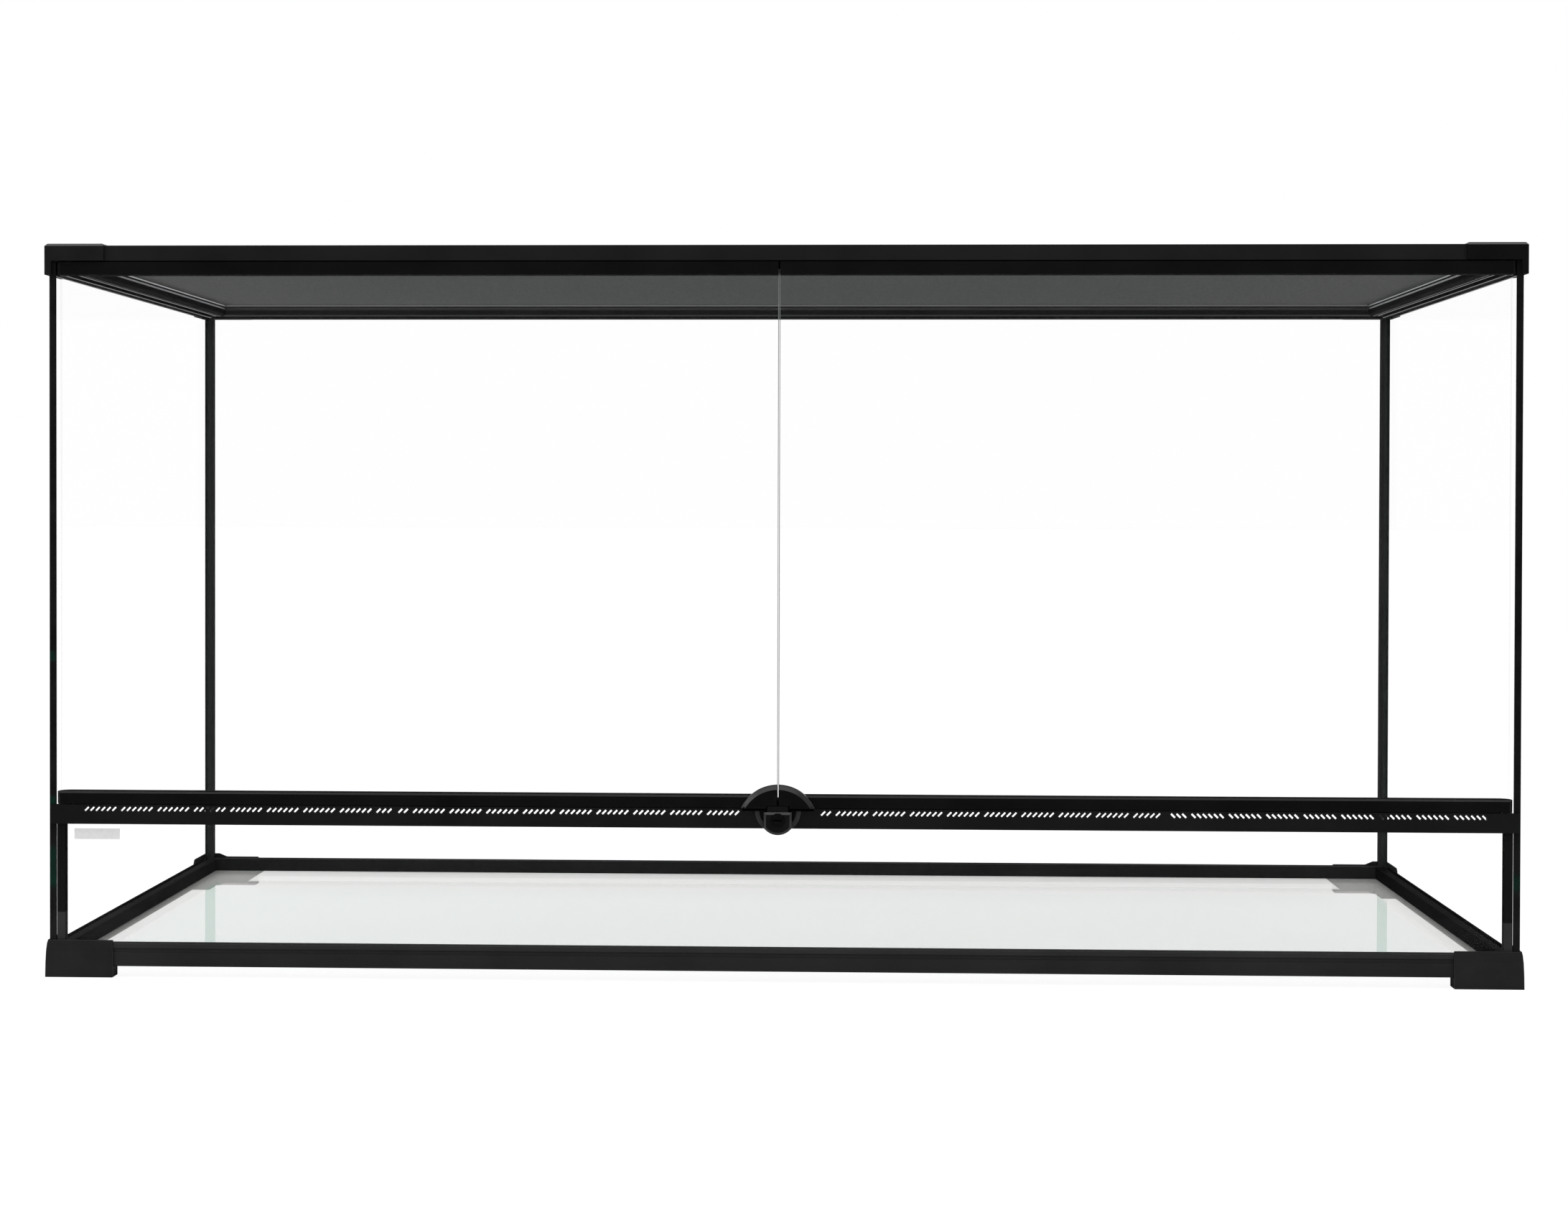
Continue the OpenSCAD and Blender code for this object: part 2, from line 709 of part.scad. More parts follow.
module lock_body() {
    mid_z = lock_z0 + lock_round_r;
    y1 = lock_y0 + lock_bevel;
    color("#1d1d1f") tank() difference() {
        union() {
            intersection() {
                // straight bevelled sides
                translate([0, 0, lock_z0]) linear_extrude(lock_h)
                    polygon([
                        [-lock_half + lock_bevel, lock_y0], [lock_half - lock_bevel, lock_y0],
                        [lock_half, y1], [lock_half, lock_y1], [-lock_half, lock_y1], [-lock_half, y1]
                    ]);
                // bevelled top
                along_x(-lock_half, lock_half)
                    polygon([
                        [lock_y0, lock_z0], [lock_y0, lock_z1 - lock_bevel], [y1, lock_z1],
                        [lock_y1, lock_z1], [lock_y1, lock_z0]
                    ]);
                // round bevelled lower end
                union() {
                    rod_y(lock_round_r, y1, lock_y1, 0, mid_z);
                    translate([0, lock_y0, mid_z]) rotate([-90, 0, 0])
                        cylinder(r1 = lock_round_r - lock_bevel, r2 = lock_round_r, h = lock_bevel);
                    block([-lock_half, lock_y0, spindle_z], [lock_half, lock_y1, lock_z1]);
                }
            }
            block([-neck_half, lock_y0 + neck_back, lock_z1 - cut],
                  [neck_half, lock_y1, door_z0 + neck_rise]);
        }
        rod_y(cylinder_r + run_play, lock_y0 - cut, cylinder_y1, 0, spindle_z);
        rod_y(spindle_r + run_play, lock_y0, lock_y1 + cut, 0, spindle_z);
    }
}

module lock_cylinder() {
    color("#5b5d60") tank() difference() {
        union() {
            rod_y(cylinder_r, -grip_proud, cylinder_y1 - 0.1, 0, spindle_z);
            rod_y(spindle_r, cylinder_y1 - 0.1 - cut, spindle_y1, 0, spindle_z);
        }
        block([-cylinder_r * 0.6, -grip_proud - cut, spindle_z - 0.6],
              [cylinder_r * 0.6, -grip_proud + 2.5, spindle_z + 0.6]);
    }
}

module lock_cam() {
    color("#9a9da1") tank() along_y(cam_y0, cam_y0 + cam_t)
        translate([0, spindle_z]) difference() {
            union() {
                circle(cam_w / 2 + 1);
                translate([0, -cam_w / 2]) square([cam_l, cam_w]);
            }
            circle(spindle_r);
        }
}

module lock_nut() {
    color("#9a9da1") tank() along_y(cam_y0 + cam_t, spindle_y1)
        translate([0, spindle_z]) difference() {
            circle(r = spindle_r + 1.8, $fn = 6);
            circle(spindle_r);
        }
}

// ---------- top frame ----------

// The outline of a side or back top rail: u runs in from the feet's outer face
module top_rail_outline() {
    translate([shell_wall, top_z]) square([top_rail_w, top_rail_h]);
    translate([top_in, ledge_z0]) square([ledge_w, ledge_t]);
    ledge_ribs(top_in);
}

// Thin ribs under the ledge, and a deeper bevelled lip along its inner edge
module ledge_ribs(u0) {
    rib_h = ledge_lift / 2;
    for (k = [1 : 2])
        translate([u0 + k * ledge_w / 3 - rib_w, ledge_z0 - rib_h]) square([rib_w, rib_h]);
    u1 = u0 + ledge_w;
    z = ledge_z0 - rib_h - 0.5;
    polygon([
        [u1 - lip_bevel - rib_w, z], [u1 - lip_bevel, z], [u1, z + lip_bevel],
        [u1, ledge_z0 + rib_h], [u1 - lip_bevel - rib_w, ledge_z0 + rib_h]
    ]);
}

module top_rail_front() {
    inner = xo - top_in;
    color("#1c1c1e") tank() difference() {
        union() {
            block([-xo + shell_wall, shell_wall, front_top_z],
                  [xo - shell_wall, front_leg_y1, rail_top]);
            along_x(-inner, inner) {
                translate([front_leg_y0, ledge_z0])
                    square([front_leg_y1 - front_leg_y0, front_top_z - ledge_z0 + cut]);
                translate([front_leg_y1, ledge_z0]) square([ledge_w, ledge_t]);
                ledge_ribs(front_leg_y1);
            }
        }
        fixed_panes(glass_play);
        for (side = [-1, 1]) on_side(side)
            translate([pivot_x, pivot_y, front_top_z - cut])
                cylinder(r = pin_r + run_play, h = pin_depth + cut);
    }
}

module top_rail_back() {
    color("#1c1c1e") tank() difference() {
        along_x(-xo + shell_wall, xo - shell_wall)
            translate([tank_d, 0]) mirror([1, 0]) top_rail_outline();
        fixed_panes(glass_play);
    }
}

module top_rail_side(side) {
    y1 = tank_d - top_in - ledge_w;
    color("#1c1c1e") tank() on_side(side) difference() {
        along_y(front_leg_y0, y1) translate([xo, 0]) mirror([1, 0]) top_rail_outline();
        // the front rail lies over the front end
        block([xo - top_in - cut, 0, front_top_z], [xo, front_leg_y1, tank_h]);
        block([0, 0, 0], [xo - top_in, front_ledge_y1, tank_h]);
        fixed_panes(glass_play);
    }
}

module cap(side, back) {
    // width of the top rail under the arm that runs along X
    arm = back ? top_in : front_leg_y1;
    color("#2b2b2d") tank() on_side(side) at_back(back) difference() {
        corner_block(cap_outline(), cap_reach);
        block([xo - cap_reach - cut, shell_wall, top_z - cut],
              [xo - shell_wall, cap_reach + cut, rail_top]);
        block([xo - cap_reach - cut, arm, rail_top - cut],
              [xo - top_in, cap_reach + cut, tank_h + cut]);
        if (!back)
            block([xo - cap_reach - cut, -cut, top_z - cut],
                  [xo - cap_leg_w, shell_wall + cut, front_top_z]);
    }
}

// ---------- lift-out screen ----------

// The outline of a frame bar: u runs in from the bar's outer face
module bar_outline() {
    translate([0, ledge_z]) square([mesh_in, bar_h]);
    translate([0, ledge_z]) square([bar_w, bar_step_h]);
}

module screen_bar_x(back) {
    half = xo - screen_in - bar_w;
    y = back ? screen_y1 : screen_y0;
    color("#222224") tank() along_x(-half, half)
        translate([y, 0]) mirror([back ? 1 : 0, 0]) bar_outline();
}

module screen_bar_y(side) {
    color("#222224") tank() on_side(side) along_y(screen_y0, screen_y1)
        translate([xo - screen_in, 0]) mirror([1, 0]) bar_outline();
}

module screen_mesh() {
    half = xo - screen_in - mesh_in - spline_gap;
    y0 = screen_y0 + mesh_in + spline_gap;
    y1 = screen_y1 - mesh_in - spline_gap;
    step_x = (2 * (half - mesh_rim) + mesh_strip) / mesh_cells[0];
    step_y = (y1 - y0 - 2 * mesh_rim + mesh_strip) / mesh_cells[1];
    color("#5a5a5c") tank() difference() {
        block([-half, y0, mesh_z], [half, y1, mesh_z + mesh_t]);
        for (i = [0 : mesh_cells[0] - 1]) for (j = [0 : mesh_cells[1] - 1])
            translate([-half + mesh_rim + i * step_x, y0 + mesh_rim + j * step_y, mesh_z - cut])
                cube([step_x - mesh_strip, step_y - mesh_strip, mesh_t + 2 * cut]);
    }
}

module screen_spline() {
    half = xo - screen_in - mesh_in - spline_gap;
    y0 = screen_y0 + mesh_in + spline_gap;
    y1 = screen_y1 - mesh_in - spline_gap;
    z0 = mesh_z + mesh_t;
    z1 = z0 + spline_w;
    color("#8d8f92") tank() {
        for (y = [y0, y1 - spline_w])
            block([-half + spline_w, y, z0], [half - spline_w, y + spline_w, z1]);
        for (side = [-1, 1]) on_side(side)
            block([half - spline_w, y0, z0], [half, y1, z1]);
    }
}

// ---------- nodes ----------

base_rail_front();
base_rail_back();
base_rail_side(-1);  // base_rail_left
base_rail_side(1);  // base_rail_right
foot(-1, false);  // foot_front_left
foot(1, false);  // foot_front_right
foot(-1, true);  // foot_back_left
foot(1, true);  // foot_back_right
floor_glass();
side_glass(-1);  // side_glass_left
side_glass(1);  // side_glass_right
back_glass();
lower_front_glass();
lower_end_profile(-1);  // lower_end_profile_left
lower_end_profile(1);  // lower_end_profile_right
front_edge_profile(-1);  // front_edge_profile_left
front_edge_profile(1);  // front_edge_profile_right
rear_post(-1);  // rear_post_left
rear_post(1);  // rear_post_right
level_label();
vent_rail();
vent_grille_1();
vent_grille_2();
vent_grille_3();
vent_grille_4();
top_rail_front();
top_rail_back();
top_rail_side(-1);  // top_rail_left
top_rail_side(1);  // top_rail_right
cap(-1, false);  // cap_front_left
cap(1, false);  // cap_front_right
cap(-1, true);  // cap_back_left
cap(1, true);  // cap_back_right
door_glass(-1);  // door_glass_left
door_bottom_rail(-1);  // door_bottom_rail_left
door_top_rail(-1);  // door_top_rail_left
door_handle(-1);  // door_handle_left
hinge_pins(-1);  // hinge_pins_left
door_glass(1);  // door_glass_right
door_bottom_rail(1);  // door_bottom_rail_right
door_top_rail(1);  // door_top_rail_right
door_handle(1);  // door_handle_right
hinge_pins(1);  // hinge_pins_right
lock_ring();
lock_body();
lock_cylinder();
lock_cam();
lock_nut();
screen_bar_x(false);  // screen_bar_front
screen_bar_x(true);  // screen_bar_back
screen_bar_y(-1);  // screen_bar_left
screen_bar_y(1);  // screen_bar_right
screen_mesh();
screen_spline();
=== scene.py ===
"""A front-opening glass terrarium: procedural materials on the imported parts, woven screen wires,
and a plain pale studio. Metres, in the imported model's own frame: X right, Y back, Z up."""

import math

import bpy
from mathutils import Matrix, Vector


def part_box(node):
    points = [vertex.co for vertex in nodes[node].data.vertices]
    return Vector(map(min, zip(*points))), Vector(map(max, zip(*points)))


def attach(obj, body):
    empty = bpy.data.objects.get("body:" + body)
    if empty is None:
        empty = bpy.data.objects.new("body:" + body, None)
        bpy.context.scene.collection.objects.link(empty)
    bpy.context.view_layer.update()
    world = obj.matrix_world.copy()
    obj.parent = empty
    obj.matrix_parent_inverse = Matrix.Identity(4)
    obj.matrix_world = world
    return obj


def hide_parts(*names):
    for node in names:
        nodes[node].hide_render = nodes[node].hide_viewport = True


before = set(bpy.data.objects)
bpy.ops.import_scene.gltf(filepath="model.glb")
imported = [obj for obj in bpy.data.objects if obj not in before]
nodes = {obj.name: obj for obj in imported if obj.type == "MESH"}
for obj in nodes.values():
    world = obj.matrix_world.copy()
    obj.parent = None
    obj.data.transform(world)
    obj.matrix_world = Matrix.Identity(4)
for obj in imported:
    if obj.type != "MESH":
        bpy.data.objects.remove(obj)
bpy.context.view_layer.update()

MM = 0.001


# ---------- shader nodes ----------

def new_material(name):
    """A material, its node tree and its default shader."""
    mat = bpy.data.materials.new(name)
    mat.use_nodes = True
    tree = mat.node_tree
    shader = next(n for n in tree.nodes if n.type == "BSDF_PRINCIPLED")
    return mat, tree, shader


def show(tree, closure):
    """Makes a closure the material's surface."""
    out = next(n for n in tree.nodes if n.type == "OUTPUT_MATERIAL")
    tree.links.new(closure, out.inputs["Surface"])


def add(tree, kind, **values):
    """A new node with some of its sockets or properties set."""
    node = tree.nodes.new(kind)
    for key, value in values.items():
        if key in node.inputs:
            node.inputs[key].default_value = value
        else:
            setattr(node, key.lower(), value)
    return node


def feed(tree, socket, value):
    """Gives an input a number, a colour or another node's output."""
    if isinstance(value, (int, float)):
        socket.default_value = value
    elif isinstance(value, tuple):
        socket.default_value = (*value, 1)
    else:
        tree.links.new(value, socket)


def split(tree, vector):
    """A vector's three sockets."""
    parts = tree.nodes.new("ShaderNodeSeparateXYZ")
    tree.links.new(vector, parts.inputs["Vector"])
    return parts.outputs


def coordinates(tree, kind):
    """The X, Y and Z of one of the texture coordinates."""
    return split(tree, tree.nodes.new("ShaderNodeTexCoord").outputs[kind])


def object_coords(tree, scale=(1, 1, 1)):
    """The model's coordinates, stretched so that a pattern runs along one direction."""
    coords = tree.nodes.new("ShaderNodeTexCoord")
    mapping = add(tree, "ShaderNodeMapping", Scale=scale)
    tree.links.new(coords.outputs["Object"], mapping.inputs["Vector"])
    return mapping.outputs["Vector"]


def noise(tree, vector, scale, detail=2.0, rough=0.5):
    """A noise texture's strength."""
    node = add(tree, "ShaderNodeTexNoise", Scale=scale, Detail=detail, Roughness=rough)
    tree.links.new(vector, node.inputs["Vector"])
    return node.outputs["Fac"]


# The range that most of a noise lies in
NOISE_LOW, NOISE_HIGH = 0.3, 0.7


def ramp(tree, factor, first, last, low=NOISE_LOW, high=NOISE_HIGH):
    """A colour ramp from the first colour at low to the last one at high."""
    node = tree.nodes.new("ShaderNodeValToRGB")
    tree.links.new(factor, node.inputs["Fac"])
    for item, place, colour in zip(node.color_ramp.elements, (low, high), (first, last)):
        item.position = place
        item.color = (*colour, 1)
    return node.outputs["Color"]


def map_range(tree, value, start, end, low=0.0, high=1.0):
    """Maps start to end onto low to high, and stays there outside them."""
    node = tree.nodes.new("ShaderNodeMapRange")
    for socket, number in (("From Min", start), ("From Max", end),
                           ("To Min", low), ("To Max", high)):
        node.inputs[socket].default_value = number
    tree.links.new(value, node.inputs["Value"])
    return node.outputs["Result"]


def spread(tree, factor, low, high):
    """Maps a noise onto low to high."""
    return map_range(tree, factor, NOISE_LOW, NOISE_HIGH, low, high)


def bump(tree, shader, heights):
    """Chains bumps of (height output, strength, depth in metres) into the shader's normal."""
    last = None
    for height, strength, depth in heights:
        node = add(tree, "ShaderNodeBump", Strength=strength, Distance=depth)
        tree.links.new(height, node.inputs["Height"])
        if last is not None:
            tree.links.new(last, node.inputs["Normal"])
        last = node.outputs["Normal"]
    tree.links.new(last, shader.inputs["Normal"])


def maths(tree, operation, *values):
    """A Math node on sockets or numbers."""
    node = add(tree, "ShaderNodeMath", operation=operation)
    for socket, value in zip(node.inputs, values):
        feed(tree, socket, value)
    return node.outputs[0]


def tint(tree, share, first, second):
    """A colour mix of two sockets or colours."""
    node = add(tree, "ShaderNodeMix", data_type="RGBA")
    factor, a, b = node.inputs[0], node.inputs[6], node.inputs[7]
    for socket, value in ((factor, share), (a, first), (b, second)):
        feed(tree, socket, value)
    return node.outputs[2]


def mix_shaders(tree, share, first, second):
    """The first closure, with a share of the second."""
    node = tree.nodes.new("ShaderNodeMixShader")
    for socket, value in zip(node.inputs, (share, first, second)):
        feed(tree, socket, value)
    return node.outputs["Shader"]


# ---------- masks ----------

# A unit normal's largest part is under the first on a bevel, over the second on a face that is
# square to an axis
OFF_AXIS, ON_AXIS = 0.8, 0.88
# On a pane's broad faces the normal's part along its thin direction is over this
BROAD = 0.9


def slanted(tree):
    """1 on bevels and other faces that lie well off the three axes, 0 on the broad faces."""
    sizes = [maths(tree, "ABSOLUTE", part) for part in coordinates(tree, "Normal")]
    most = maths(tree, "MAXIMUM", maths(tree, "MAXIMUM", sizes[0], sizes[1]), sizes[2])
    return map_range(tree, most, OFF_AXIS, ON_AXIS, 1.0, 0.0)


def broad_face(tree, axis):
    """1 on a pane's two broad faces, 0 on its narrow edges. axis is the pane's thin direction."""
    facing = maths(tree, "ABSOLUTE", coordinates(tree, "Normal")[axis])
    return maths(tree, "GREATER_THAN", facing, BROAD)


def past(tree, axis, place, soft=0.3 * MM):
    """0 before a place along an axis of the model, 1 past it."""
    where = split(tree, object_coords(tree))[axis]
    return map_range(tree, where, place - soft, place + soft)


def within(tree, axis, low, high, soft=0.3 * MM):
    """1 between two places along an axis, 0 outside them."""
    return maths(tree, "SUBTRACT", past(tree, axis, low, soft), past(tree, axis, high, soft))


def outside(tree, mask):
    """0 where a mask is 1, and the other way round."""
    return maths(tree, "SUBTRACT", 1.0, mask)


def shaded(tree, colour, band):
    """The colour with painted light and shade: times a number past a place. band is (axis, place,
    number) or None.
    """
    if band is None:
        return colour
    axis, place, number = band
    node = add(tree, "ShaderNodeVectorMath", operation="SCALE")
    tree.links.new(colour, node.inputs["Vector"])
    scale = maths(tree, "MULTIPLY_ADD", past(tree, axis, place), number - 1.0, 1.0)
    tree.links.new(scale, node.inputs["Scale"])
    return node.outputs["Vector"]


# ---------- black plastics ----------

# How a noise is stretched for lines along each direction
ALONG = {"x": (1, 60, 60), "y": (60, 1, 60), "z": (60, 60, 1)}
# How much lighter than the faces the bevels are: partly wear, partly a painted highlight
BEVEL_WEAR_AND_HIGHLIGHT = 1.6


def grey(level):
    """A black plastic's colour, a trace towards blue."""
    return (level, level, level * 1.03)


def times(colour, number):
    """A colour made lighter or darker."""
    return tuple(c * number for c in colour)


def skin(tree, shader, colour, edge_tone, dull, edge_gloss, plain_inside=None):
    """Dull plastic with a thin even gloss, and polished bevels painted lighter, partly for wear and
    partly as a painted highlight. Nearer the middle than plain_inside, along X, the bevels look
    like the rest."""
    edge = slanted(tree)
    if plain_inside is not None:
        inner = within(tree, "X", -plain_inside, plain_inside, 0.05 * MM)
        edge = maths(tree, "MULTIPLY", edge, outside(tree, inner))
    tree.links.new(tint(tree, edge, colour, edge_tone), shader.inputs["Base Color"])
    shader.inputs["Specular IOR Level"].default_value = 0.0
    weight = maths(tree, "MULTIPLY_ADD", edge, edge_gloss - dull, dull)
    tree.links.new(weight, shader.inputs["Coat Weight"])
    shader.inputs["Coat Roughness"].default_value = 0.3


def extruded_plastic(name, dark, light, along, dull=0.08, edge_gloss=0.8, band=None,
                     edge_wear_and_highlight=BEVEL_WEAR_AND_HIGHLIGHT, plain_inside=None):
    """Satin black plastic drawn through a die: faint long lines, a fine grain, a little dust."""
    mat, tree, shader = new_material(name)
    plain = object_coords(tree)
    cloud = noise(tree, plain, 14, 3)
    lines = noise(tree, object_coords(tree, ALONG[along]), 9, 4, 0.6)
    grain = noise(tree, plain, 2600, 2)
    # band paints light and shade: the colour times a number past a place
    colour = shaded(tree, ramp(tree, cloud, dark, light), band)
    # The bevels' lighter colour is partly wear, partly a painted highlight
    skin(tree, shader, colour, times(light, edge_wear_and_highlight), dull, edge_gloss, plain_inside)
    tree.links.new(spread(tree, lines, 0.45, 0.6), shader.inputs["Roughness"])
    bump(tree, shader, [(lines, 0.12, 0.1 * MM), (grain, 0.1, 0.03 * MM)])
    return mat


def moulded_plastic(name, dark, light, dull=0.1, edge_gloss=0.9, grain_scale=1500, band=None):
    """Black injection-moulded plastic with a fine etched texture."""
    mat, tree, shader = new_material(name)
    plain = object_coords(tree)
    cloud = noise(tree, plain, 40, 3)
    etch = noise(tree, plain, grain_scale, 3, 0.6)
    pits = add(tree, "ShaderNodeTexVoronoi", Scale=1100)
    tree.links.new(plain, pits.inputs["Vector"])
    # band paints light and shade: the colour times a number past a place
    colour = shaded(tree, ramp(tree, cloud, dark, light), band)
    # The bevels' lighter colour is partly wear, partly a painted highlight
    skin(tree, shader, colour, times(light, BEVEL_WEAR_AND_HIGHLIGHT), dull, edge_gloss)
    tree.links.new(spread(tree, etch, 0.45, 0.6), shader.inputs["Roughness"])
    bump(tree, shader, [(etch, 0.25, 0.06 * MM), (pits.outputs["Distance"], 0.12, 0.04 * MM)])
    return mat


# Heights of the painted glass-green glints on each side's strip, and how soft their ends are
LEFT_GREEN_GLINTS = [(0.074, 0.106, 3 * MM), (0.141, 0.148, 1 * MM), (0.259, 0.267, 1 * MM)]
RIGHT_GREEN_GLINTS = [(0.079, 0.091, 3 * MM)]
GLINT_GREEN = (0.003, 0.021, 0.014)


def edge_strip(name):
    """The dark strip on a side pane's front edge, with painted glass-green glints in places and a
    painted reflection that lightens it below 55 mm.
    """

    def any_of(zones):
        found = [within(tree, "Z", *zone) for zone in zones]
        total = found[0]
        for mask in found[1:]:
            total = maths(tree, "ADD", total, mask)
        return total

    mat, tree, shader = new_material(name)
    cloud = noise(tree, object_coords(tree), 60, 3)
    patches = spread(tree, noise(tree, object_coords(tree, (4, 4, 1)), 70, 2), 0.35, 1.0)
    black = ramp(tree, cloud, grey(0.0065), grey(0.011))
    # A painted reflection: the strip is lighter below 55 mm
    black = shaded(tree, black, ("Z", 0.055, 0.8))
    # Glass-green glints are painted at the listed heights on the right and left strips
    right = past(tree, "X", 0.0)
    glints = maths(tree, "ADD", maths(tree, "MULTIPLY", right, any_of(RIGHT_GREEN_GLINTS)),
                 maths(tree, "MULTIPLY", outside(tree, right), any_of(LEFT_GREEN_GLINTS)))
    colour = tint(tree, maths(tree, "MULTIPLY", glints, patches), black, GLINT_GREEN)
    skin(tree, shader, colour, (0.016, 0.018, 0.017), 0.1, 0.5)
    tree.links.new(spread(tree, cloud, 0.4, 0.55), shader.inputs["Roughness"])
    bump(tree, shader, [(cloud, 0.15, 0.05 * MM)])
    return mat


# ---------- glass ----------

# Where the floor pane is polished: half its width, its far end, and the height its top is above
POLISHED_X, POLISHED_Y, POLISHED_Z = 0.564, 0.19, 0.0124
# How much of its mirroring the rest of the top keeps
DULL_SHARE = 0.1
# The dense pale band that hides the seal: half its length, its near edge, its colour, how solid
SEAL_X, SEAL_Y = 0.5355, 0.208
SEAL_TONE, SEAL_SOLID = (0.82, 0.825, 0.815), 0.86
# Half the width round the tank's middle where the two doors' edges meet
DOORS_MEET = 0.01


def glass(name, axis, gloss, body=0.0, body_tone=(0.8, 0.8, 0.8), mirror_tone=(1, 1, 1),
          edge=0.5, edge_tone=(0.03, 0.05, 0.04), middle_edge=None, dull_tone=None):
    """A clear pane that doesn't bend what is behind it. gloss scales its mirroring, body is how
    much of a pale haze lies on it, and edge is how solid its ground edges are. middle_edge is the
    same for the edges where the doors meet. A pane with a dull_tone mirrors only in its polished
    middle, has a haze of that tone round it, and a dense pale band along its far edge."""
    mat, tree, mirror = new_material(name)
    plain = object_coords(tree)
    wipes = noise(tree, plain, 7, 4, 0.6)
    specks = noise(tree, plain, 420, 2)
    mirror.inputs["Base Color"].default_value = (*mirror_tone, 1)
    mirror.inputs["Metallic"].default_value = 1.0
    tree.links.new(spread(tree, wipes, 0.0, 0.02), mirror.inputs["Roughness"])
    fresnel = add(tree, "ShaderNodeFresnel", IOR=1.5)
    mirroring = maths(tree, "MULTIPLY", fresnel.outputs["Fac"],
                      spread(tree, wipes, gloss * 0.9, gloss))
    clear = tree.nodes.new("ShaderNodeBsdfTransparent").outputs["BSDF"]

    haze = tree.nodes.new("ShaderNodeBsdfPrincipled")
    haze_colour = ramp(tree, wipes, times(body_tone, 0.96), body_tone)
    film = spread(tree, specks, max(body - 0.01, 0), body + 0.003)
    if dull_tone is not None:
        on_top = past(tree, "Z", POLISHED_Z)
        polished = maths(tree, "SUBTRACT", within(tree, "X", -POLISHED_X, POLISHED_X, 3 * MM),
                         past(tree, "Y", POLISHED_Y, 6 * MM))
        polished = maths(tree, "MAXIMUM", polished, 0.0)
        seal = maths(tree, "MULTIPLY", past(tree, "Y", SEAL_Y, 6 * MM),
                     within(tree, "X", -SEAL_X, SEAL_X, 0.5 * MM))
        seal = maths(tree, "MULTIPLY", seal, on_top)
        haze_colour = tint(tree, polished, dull_tone, haze_colour)
        haze_colour = tint(tree, seal, haze_colour, SEAL_TONE)
        film = maths(tree, "ADD", film, maths(tree, "MULTIPLY", seal, SEAL_SOLID - body))
        polished = maths(tree, "MULTIPLY_ADD", polished, 1 - DULL_SHARE, DULL_SHARE)
        mirroring = maths(tree, "MULTIPLY", mirroring, maths(tree, "MULTIPLY", polished, on_top))
    tree.links.new(haze_colour, haze.inputs["Base Color"])
    haze.inputs["Roughness"].default_value = 0.6
    haze.inputs["Specular IOR Level"].default_value = 0.0
    face = mix_shaders(tree, film, clear, haze.outputs["BSDF"])
    face = mix_shaders(tree, mirroring, face, mirror.outputs["BSDF"])

    ground = tree.nodes.new("ShaderNodeBsdfPrincipled")
    frost = noise(tree, plain, 1800, 3)
    ground_colour = ramp(tree, frost, times(edge_tone, 0.8), edge_tone)
    tree.links.new(ground_colour, ground.inputs["Base Color"])
    ground.inputs["Roughness"].default_value = 0.45
    bump(tree, ground, [(frost, 0.3, 0.02 * MM)])
    if middle_edge is not None:
        off_middle = maths(tree, "ABSOLUTE", split(tree, plain)["X"])
        middle = maths(tree, "LESS_THAN", off_middle, DOORS_MEET)
        edge = maths(tree, "MULTIPLY_ADD", middle, middle_edge - edge, edge)
    rim = mix_shaders(tree, edge, clear, ground.outputs["BSDF"])
    show(tree, mix_shaders(tree, broad_face(tree, axis), rim, face))
    return mat


# ---------- metal, paper, cord and wire ----------

def zinc(name, tone):
    """Brushed metal of a given colour."""
    mat, tree, shader = new_material(name)
    cloud = noise(tree, object_coords(tree), 300, 3)
    brushed = noise(tree, object_coords(tree, (4, 4, 90)), 60, 3)
    tree.links.new(ramp(tree, cloud, times(tone, 0.8), tone), shader.inputs["Base Color"])
    shader.inputs["Metallic"].default_value = 1.0
    tree.links.new(spread(tree, brushed, 0.28, 0.45), shader.inputs["Roughness"])
    bump(tree, shader, [(brushed, 0.15, 0.03 * MM)])
    return mat


def label_paper(name):
    """Blank coated paper with a faint fibre."""
    mat, tree, shader = new_material(name)
    fibre = noise(tree, object_coords(tree, (1, 1, 2)), 900, 4, 0.7)
    cloud = noise(tree, object_coords(tree), 500, 2)
    tree.links.new(ramp(tree, cloud, (0.64, 0.645, 0.64), (0.69, 0.695, 0.69)),
                   shader.inputs["Base Color"])
    shader.inputs["Roughness"].default_value = 0.55
    bump(tree, shader, [(fibre, 0.15, 0.02 * MM)])
    return mat


def speckled(name, dark, light, scale, strength, depth, specular=0.5):
    """A plain coat with a fine uneven surface."""
    mat, tree, shader = new_material(name)
    spots = noise(tree, object_coords(tree), scale, 2)
    tree.links.new(ramp(tree, spots, dark, light, 0.35, 0.65), shader.inputs["Base Color"])
    shader.inputs["Roughness"].default_value = 0.5
    shader.inputs["Specular IOR Level"].default_value = specular
    bump(tree, shader, [(spots, strength, depth)])
    return mat


# ---------- which piece has which look ----------

# The bands are painted light and shade: the right side rail and caps are shaded darker than the
# left ones, the front base rail is painted lighter above its groove, the end profiles are darker
# above the front base rail, below which a painted reflection lightens them, and the lock's ring is
# shaded darker on its sides than on its face
frame_plastic = extruded_plastic("frame_plastic_x", grey(0.0092), grey(0.0128), "x")
